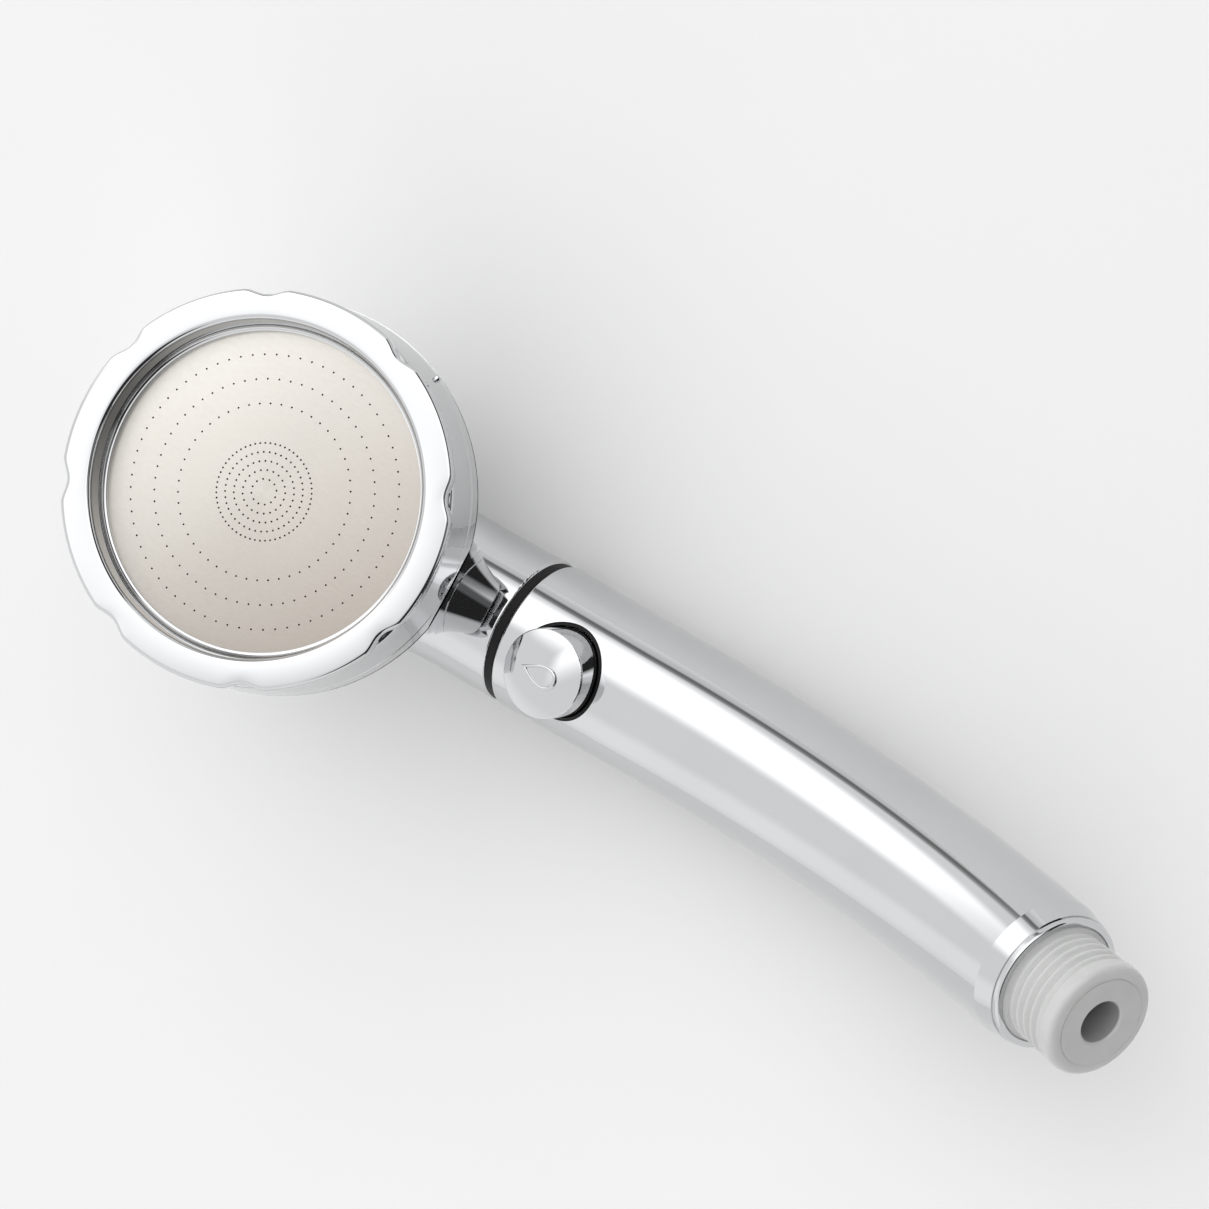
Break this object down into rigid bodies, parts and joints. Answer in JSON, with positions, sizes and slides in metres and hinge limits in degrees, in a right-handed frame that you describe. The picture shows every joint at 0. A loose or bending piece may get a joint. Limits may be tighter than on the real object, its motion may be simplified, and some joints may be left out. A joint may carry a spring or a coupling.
{
  "type": "handheld shower head",
  "caption": "Handheld shower head with a bent round handle, swivelling head, turning scalloped spray face, push-through stop valve and threaded hose inlet.",
  "frame": {"origin": "centre of the handle's inlet end, where the hose thread leaves the handle", "axes": "+X along the swivel axis from the head towards the inlet, +Z towards the side the spray face looks to, +Y to the left seen from the inlet end"},
  "size_m": [0.2341, 0.0806, 0.0721],
  "materials": {
    "chrome_plating": "polished chrome plating on plastic",
    "spray_steel": "fine turned stainless steel",
    "steel": "plain stainless steel",
    "black_rubber": "matt",
    "clear_plastic": "milky translucent",
    "grey_plastic": "satin",
    "inner_plastic": "moulded"
  },
  "bodies": {
    "handle": {"handle_shell": "chrome_plating", "inlet_nipple": "clear_plastic", "water_tube": "clear_plastic", "flow_insert": "grey_plastic", "tube_seal": "black_rubber", "valve_body": "inner_plastic", "swivel_spigot": "inner_plastic", "spigot_seal_outer": "black_rubber", "spigot_seal_inner": "black_rubber", "spigot_clip": "steel", "button_seal_front": "black_rubber", "button_seal_rear": "black_rubber"},
    "spool": {"stop_button": "chrome_plating", "resume_button": "chrome_plating", "stop_spool": "inner_plastic", "spool_seal_upper": "black_rubber", "spool_seal_lower": "black_rubber"},
    "head": {"head_shell": "chrome_plating", "head_ring": "chrome_plating", "neck_sleeve": "inner_plastic", "swivel_ring": "black_rubber", "chamber_gasket": "black_rubber", "selector_plate": "inner_plastic", "selector_seal": "black_rubber"},
    "face": {"bezel_ring": "chrome_plating", "spray_plate": "spray_steel", "plate_gasket": "black_rubber", "diffuser": "inner_plastic", "face_seal": "black_rubber", "hub_washer": "steel", "hub_screw": "steel"}
  },
  "joints": [
    {"name": "head_swivel", "type": "hinge", "parent": "handle", "child": "head", "pos_m": [-0.12948, 0, -0.02606], "axis": [1, 0, 0], "continuous": true},
    {"name": "face_turn", "type": "hinge", "parent": "head", "child": "face", "pos_m": [-0.17728, 0.00864, 0.00992], "axis": [0.2965, 0.2229, 0.9286], "range_deg": [0, 90]},
    {"name": "stop_slide", "type": "slide", "parent": "handle", "child": "spool", "axis": [0, 0, -1], "range_m": [0, 0.005]}
  ]
}
